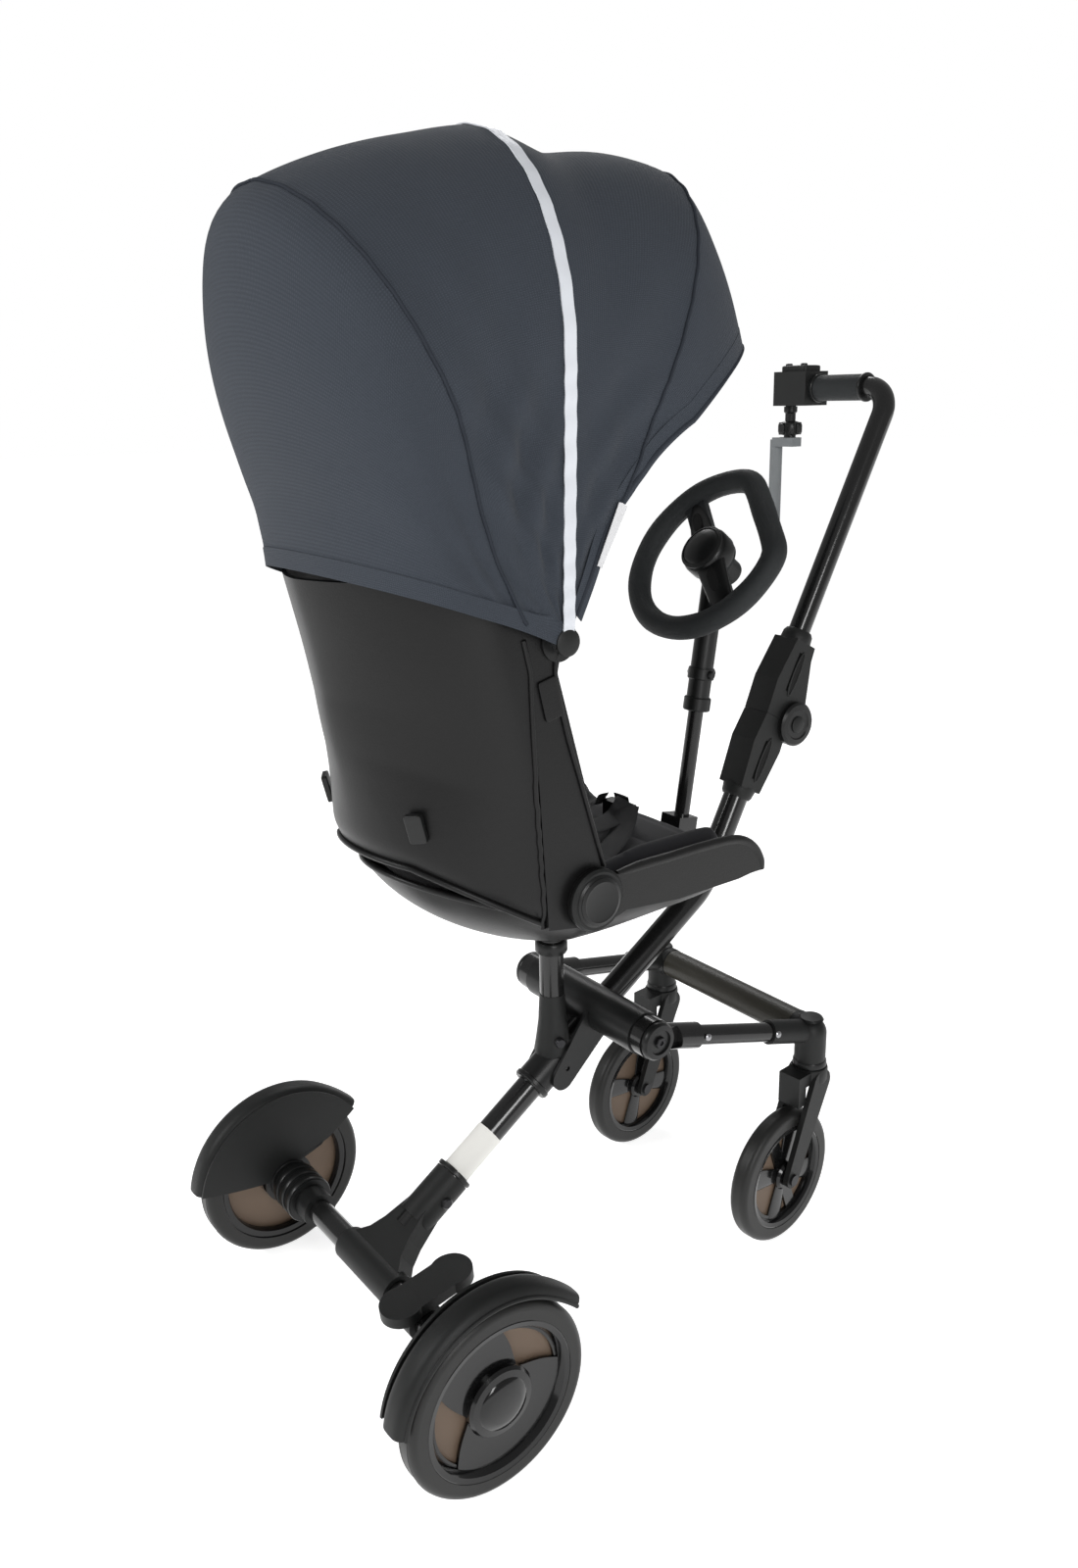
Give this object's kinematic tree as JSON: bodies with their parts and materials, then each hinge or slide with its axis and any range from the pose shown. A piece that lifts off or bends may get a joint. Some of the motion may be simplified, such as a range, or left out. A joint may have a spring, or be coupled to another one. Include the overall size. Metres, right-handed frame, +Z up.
{
  "type": "baby stroller",
  "caption": "Light baby stroller with a folding spine frame, castors, swivelling bucket seat, folding canopy, toy steering wheel and one-hand push bar.",
  "frame": {"origin": "on the floor, under the middle of the whole stroller with its push bar", "axes": "+X across, towards the child-facing left-hand main wheel side; +Y towards the castors and the push bar; +Z up"},
  "size_m": [0.495, 0.936, 1.2447],
  "materials": {
    "frame_tube": "glossy black enamel",
    "casting": "satin moulded",
    "steel": "satin",
    "tyre_rubber": "matt",
    "rim_gloss": "gloss",
    "insert_brown": "satin",
    "label_grey": "matt",
    "bar_leather": "grained",
    "shell_leather": "satin grained",
    "pad_fabric": "woven",
    "webbing": "woven tape",
    "canopy_fabric": "heathered weave",
    "foam": "matt foam",
    "holder_grey": "matt"
  },
  "bodies": {
    "chassis": {"spine_tube": "frame_tube", "axle_yoke": "casting", "axle_tube": "frame_tube", "axle_shaft": "steel", "axle_housing_l": "casting", "axle_housing_r": "casting", "fender_l": "casting", "fender_r": "casting", "spine_sleeve": "casting", "tube_sleeve_label": "label_grey", "seat_post": "frame_tube", "hub_barrel": "casting", "hub_plates": "casting", "hub_pin": "steel", "fold_casting_lower": "casting"},
    "main_wheel_l": {"main_tyre_l": "tyre_rubber", "main_rim_l": "rim_gloss", "main_insert_l": "insert_brown"},
    "main_wheel_r": {"main_tyre_r": "tyre_rubber", "main_rim_r": "rim_gloss", "main_insert_r": "insert_brown"},
    "pedal": {"brake_pedal": "casting"},
    "castor_frame": {"castor_frame_tubes": "frame_tube", "crossbar_cover": "bar_leather", "castor_corners": "casting"},
    "castor_l": {"castor_fork_l": "casting", "castor_pin_l": "steel"},
    "castor_r": {"castor_fork_r": "casting", "castor_pin_r": "steel"},
    "castor_wheel_l": {"castor_tyre_l": "tyre_rubber", "castor_rim_l": "rim_gloss"},
    "castor_wheel_r": {"castor_tyre_r": "tyre_rubber", "castor_rim_r": "rim_gloss"},
    "seat": {"swivel_collar": "casting", "seat_tub": "casting", "seat_cushion": "pad_fabric", "seat_arms": "casting", "recline_caps": "casting", "harness_buckle": "casting", "steer_stem": "frame_tube"},
    "backrest": {"back_shell": "shell_leather", "back_flanges": "shell_leather", "back_cushion": "pad_fabric", "shoulder_straps": "webbing", "canopy_clamps": "casting", "canopy_rear": "canopy_fabric"},
    "bow_rear": {"rear_bow": "steel"},
    "bow_middle": {"middle_bow": "steel", "canopy_middle": "canopy_fabric"},
    "bow_front": {"front_bow": "steel", "canopy_front": "canopy_fabric"},
    "toy_post": {"steer_sleeve": "casting"},
    "toy_button": {"steer_button": "casting"},
    "toy_wheel": {"steering_wheel": "foam"},
    "handle": {"fold_casting_upper": "casting", "handle_pole": "frame_tube", "handle_grip": "foam", "umbrella_clamp": "casting"},
    "fold_lock": {"fold_button": "casting"},
    "holder": {"umbrella_tube": "holder_grey"}
  },
  "joints": [
    {"name": "main_wheel_l_spin", "type": "hinge", "parent": "chassis", "child": "main_wheel_l", "pos_m": [0.228, -0.35574, 0.1], "axis": [1, 0, 0], "continuous": true},
    {"name": "main_wheel_r_spin", "type": "hinge", "parent": "chassis", "child": "main_wheel_r", "pos_m": [-0.228, -0.35574, 0.1], "axis": [1, 0, 0], "continuous": true},
    {"name": "brake_pedal_rock", "type": "hinge", "parent": "chassis", "child": "pedal", "pos_m": [0.092, -0.35574, 0.1], "axis": [1, 0, 0], "range_deg": [-10, 0]},
    {"name": "castor_frame_fold", "type": "hinge", "parent": "chassis", "child": "castor_frame", "pos_m": [0, -0.04874, 0.318], "axis": [1, 0, 0], "range_deg": [-70, 0]},
    {"name": "castor_l_swivel", "type": "hinge", "parent": "castor_frame", "child": "castor_l", "pos_m": [0.134, 0.18726, 0.214], "axis": [0, 0, 1], "continuous": true},
    {"name": "castor_r_swivel", "type": "hinge", "parent": "castor_frame", "child": "castor_r", "pos_m": [-0.134, 0.18726, 0.214], "axis": [0, 0, 1], "continuous": true},
    {"name": "castor_l_spin", "type": "hinge", "parent": "castor_l", "child": "castor_wheel_l", "pos_m": [0.13908, 0.1345, 0.084], "axis": [0.9954, 0.0958, 0], "continuous": true},
    {"name": "castor_r_spin", "type": "hinge", "parent": "castor_r", "child": "castor_wheel_r", "pos_m": [-0.12892, 0.1345, 0.084], "axis": [0.9954, 0.0958, 0], "continuous": true},
    {"name": "seat_swivel", "type": "hinge", "parent": "chassis", "child": "seat", "pos_m": [0, -0.10574, 0.404], "axis": [0, 0, 1], "range_deg": [-180, 0]},
    {"name": "back_recline", "type": "hinge", "parent": "seat", "child": "backrest", "pos_m": [0, -0.16474, 0.529], "axis": [1, 0, 0], "range_deg": [0, 35]},
    {"name": "canopy_rear_fold", "type": "hinge", "parent": "backrest", "child": "bow_rear", "pos_m": [0, -0.20174, 0.792], "axis": [1, 0, 0], "range_deg": [0, 36], "deforming": ["canopy_rear"]},
    {"name": "canopy_middle_fold", "type": "hinge", "parent": "bow_rear", "child": "bow_middle", "pos_m": [0, -0.20174, 0.792], "axis": [1, 0, 0], "range_deg": [0, 20], "deforming": ["canopy_middle"]},
    {"name": "canopy_front_fold", "type": "hinge", "parent": "bow_middle", "child": "bow_front", "pos_m": [0, -0.20174, 0.792], "axis": [1, 0, 0], "range_deg": [0, 20], "deforming": ["canopy_front"]},
    {"name": "toy_post_height", "type": "slide", "parent": "seat", "child": "toy_post", "axis": [0, 0.165, 0.9863], "range_m": [0, 0.04]},
    {"name": "toy_button_press", "type": "slide", "parent": "toy_post", "child": "toy_button", "axis": [0, -0.9863, 0.165], "range_m": [0, 0.003], "stiffness_N_per_m": 300, "springref_m": -0.001},
    {"name": "toy_wheel_turn", "type": "hinge", "parent": "toy_post", "child": "toy_wheel", "pos_m": [0, 0.13026, 0.8296], "axis": [0, -0.7976, 0.6032], "continuous": true},
    {"name": "handle_fold", "type": "hinge", "parent": "chassis", "child": "handle", "pos_m": [0, 0.26326, 0.609], "axis": [1, 0, 0], "range_deg": [-150, 0]},
    {"name": "fold_button_press", "type": "slide", "parent": "handle", "child": "fold_lock", "axis": [-1, 0, 0], "range_m": [0, 0.003], "stiffness_N_per_m": 300, "springref_m": -0.001},
    {"name": "umbrella_holder_swivel", "type": "hinge", "parent": "handle", "child": "holder", "pos_m": [-0.168, 0.44601, 0.94], "axis": [0, 0, 1], "range_deg": [-90, 90]}
  ],
  "couplings": [
    {"joint": "canopy_middle_fold", "follows": "canopy_rear_fold", "ratio": 0.55556},
    {"joint": "canopy_front_fold", "follows": "canopy_rear_fold", "ratio": 0.55556}
  ]
}
